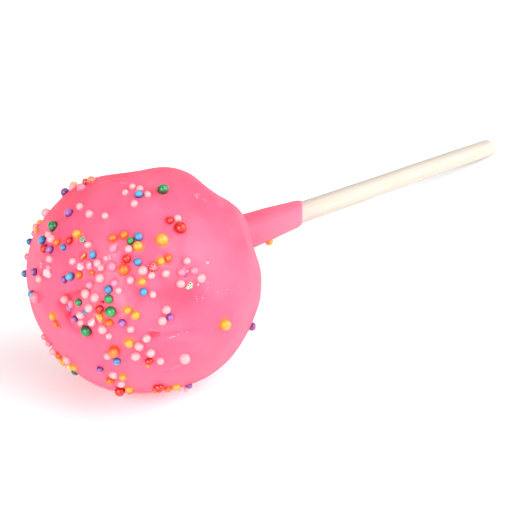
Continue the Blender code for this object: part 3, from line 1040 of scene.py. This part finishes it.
# Each clump: degrees from the pole, turn, how far it spreads, radius of a crumb, and how many.
CRUMBS = (
    (19, 319, 0.10 * MM, 1.00 * MM, 1),
    (22, 322, 0.10 * MM, 0.50 * MM, 1),
    (37, 31, 0.50 * MM, 0.30 * MM, 6),
    (44, 27, 0.30 * MM, 0.24 * MM, 2),
    (67, 60, 0.55 * MM, 0.24 * MM, 5),
    (71, 67, 0.45 * MM, 0.22 * MM, 4),
    (78, 60, 0.25 * MM, 0.26 * MM, 2),
    (72, 334, 0.40 * MM, 0.30 * MM, 5),
    (38, 0, 0.50 * MM, 0.20 * MM, 3),
    (70, 76, 0.90 * MM, 0.11 * MM, 4),
    (75, 68, 1.10 * MM, 0.12 * MM, 5),
    (50, 47, 1.20 * MM, 0.10 * MM, 3),
    (45, 95, 0.50 * MM, 0.18 * MM, 2),
    (94, 27, 0.40 * MM, 0.16 * MM, 2),
    (82, 75, 1.50 * MM, 0.10 * MM, 3),
    (27, 305, 0.60 * MM, 0.18 * MM, 3),
    (60, 240, 0.60 * MM, 0.26 * MM, 4),
    (75, 275, 1.00 * MM, 0.12 * MM, 4),
)
GRIT_SIZE = 0.18 * MM
CRUMB_WHITE = (0.72, 0.42, 0.42, 1.0)
CRUMB_PINK = (0.76, 0.24, 0.36, 1.0)


def crumb_finish():
    """Bare broken sugar: matt, white, some of it stained by the coating."""
    made, tree, shader, place = new_finish("sugar_crumb")
    shade = put(tree, "Attribute", attribute_name="shade").outputs["Fac"]
    grit = patches(tree, place, GRIT_SIZE, 3.0)
    sugar = mixed(tree, shade, CRUMB_PINK, CRUMB_WHITE)
    sugar = mixed(tree, ranged(tree, grit, 0.40, 1.0, 0.0, 0.6), sugar, CRUMB_PINK)
    tree.links.new(sugar, shader.inputs["Base Color"])
    tree.links.new(ranged(tree, grit, 0.0, 1.0, 0.55, 0.75), shader.inputs["Roughness"])
    shader.inputs["Specular IOR Level"].default_value = 0.30
    skin = put(tree, "Bump", {"Height": grit, "Strength": 0.4, "Distance": 0.03 * MM})
    tree.links.new(skin.outputs["Normal"], shader.inputs["Normal"])
    return made


def add_crumb(shape, middle, radius, rng):
    """Adds one angular crumb of sugar."""
    made = bmesh.ops.create_icosphere(shape, subdivisions=2, radius=radius)["verts"]
    lump = chance_lump(rng)
    squash = chance_squash(rng, CRUMB_SQUASH)
    spin = chance_spin(rng)
    shade = 1.0 if radius > CRUMB_FLAKE else rng.random()
    for vertex in made:
        uneven = 1.0 + CRUMB_UNEVEN * noise.noise(vertex.co * CRUMB_LUMPS / radius + lump)
        vertex.co = spin @ squash @ vertex.co * uneven + middle
        vertex[shade_layer(shape)] = shade


crumb_rng = random.Random(CRUMB_SEED)
crumbs = bmesh.new()
shade_layer(crumbs)
for polar, turn, spread, radius, number in CRUMBS:
    for _ in range(number):
        direction = stray(crumb_rng, toward(polar, turn), math.degrees(spread / BALL_SIDE))
        size = radius * crumb_rng.uniform(*CRUMB_SIZES)
        seat = on_coating(direction) + direction * size * CRUMB_LIFT
        add_crumb(crumbs, seat, size, crumb_rng)
sugar_crumbs = laid_down(crumbs, "sugar_crumbs", crumb_finish())
sugar_crumbs.data.shade_flat()
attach(sugar_crumbs, "root")
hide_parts("candy_coated_ball")

# --------------------------------------------------------------------------------- table and light
# A plain white table, 4 m square, in a white room. The light is soft: a wide key from the camera's
# right, a wide fill from just left of it, a smaller lamp on each side, and weak light from above and
# behind. Each softbox is so far off that it acts as a sun of its own width.

TABLE_SIZE = 4.0
TABLE_WHITE = (0.94, 0.94, 0.94, 1.0)
TABLE_SHADE = (0.92, 0.92, 0.92, 1.0)
TABLE_CLOUD = 60.0 * MM


def table_finish():
    """Matt white paint, with the faintest cloud in it."""
    made, tree, shader, place = new_finish("white_table")
    tone = patches(tree, place, TABLE_CLOUD)
    tree.links.new(mixed(tree, tone, TABLE_WHITE, TABLE_SHADE), shader.inputs["Base Color"])
    shader.inputs["Roughness"].default_value = 0.7
    return made


top = bmesh.new()
bmesh.ops.create_grid(top, x_segments=8, y_segments=8, size=TABLE_SIZE / 2)
bmesh.ops.translate(top, verts=top.verts, vec=(0.0, 0.0, solid_box[0].z))
table_mesh = bpy.data.meshes.new("table")
top.to_mesh(table_mesh)
top.free()
table_mesh.materials.append(table_finish())
table = bpy.data.objects.new("table", table_mesh)
bpy.context.scene.collection.objects.link(table)

# The camera looks along a direction that is turned from +X and drops below level.
CAMERA_TURN = math.radians(38.68)
CAMERA_DROP = math.radians(28.83)
CAMERA_DISTANCE = 232.15 * MM
CAMERA_AIM = Vector((31.65 * MM, 0.0, 7.64 * MM))
LENS = 85.0
SENSOR = 36.0

looks = Vector(
    (
        math.cos(CAMERA_TURN) * math.cos(CAMERA_DROP),
        math.sin(CAMERA_TURN) * math.cos(CAMERA_DROP),
        -math.sin(CAMERA_DROP),
    )
)
right = looks.cross(Vector((0.0, 0.0, 1.0))).normalized()
up = right.cross(looks)
camera_data = bpy.data.cameras.new("camera")
camera_data.lens = LENS
camera_data.sensor_width = SENSOR
camera_data.clip_start = 10 * MM
camera = bpy.data.objects.new("camera", camera_data)
bpy.context.scene.collection.objects.link(camera)
stance = Matrix((right, up, -looks)).transposed().to_4x4()
stance.translation = CAMERA_AIM - looks * CAMERA_DISTANCE
camera.matrix_world = stance
bpy.context.scene.camera = camera

# Each softbox: turn round the table from +X, height above it, how wide it looks, strength.
SOFTBOXES = (
    ("key", 303, 30, 70, 3.75),
    ("fill", 197, 15, 60, 3.9),
    ("top", 20, 75, 60, 0.6),
    ("left lamp", 171, 33, 34, 1.0),
    ("right lamp", 266, 33, 34, 1.0),
    ("back", 65, 30, 70, 0.45),
)
# The walls look white, but they add only a little light.
ROOM_LIGHT = (1.0, 1.0, 1.0, 1.0)
ROOM_STRENGTH = 0.08
WALL_BRIGHTNESS = 1.0

for name, turn, rise, spread, strength in SOFTBOXES:
    box_data = bpy.data.lights.new(name, "SUN")
    box_data.energy = strength
    box_data.angle = math.radians(spread)
    box = bpy.data.objects.new(name, box_data)
    box.rotation_euler = Euler((0.0, math.radians(90 - rise), math.radians(turn)))
    bpy.context.scene.collection.objects.link(box)

room = bpy.data.worlds.new("room")
bpy.context.scene.world = room
room.use_nodes = True
walls = room.node_tree
seen = put(walls, "LightPath").outputs["Is Camera Ray"]
shown = ranged(walls, seen, 0.0, 1.0, ROOM_STRENGTH, WALL_BRIGHTNESS)
background = walls.nodes["Background"]
background.inputs["Color"].default_value = ROOM_LIGHT
walls.links.new(shown, background.inputs["Strength"])
bpy.context.scene.view_settings.view_transform = "Standard"
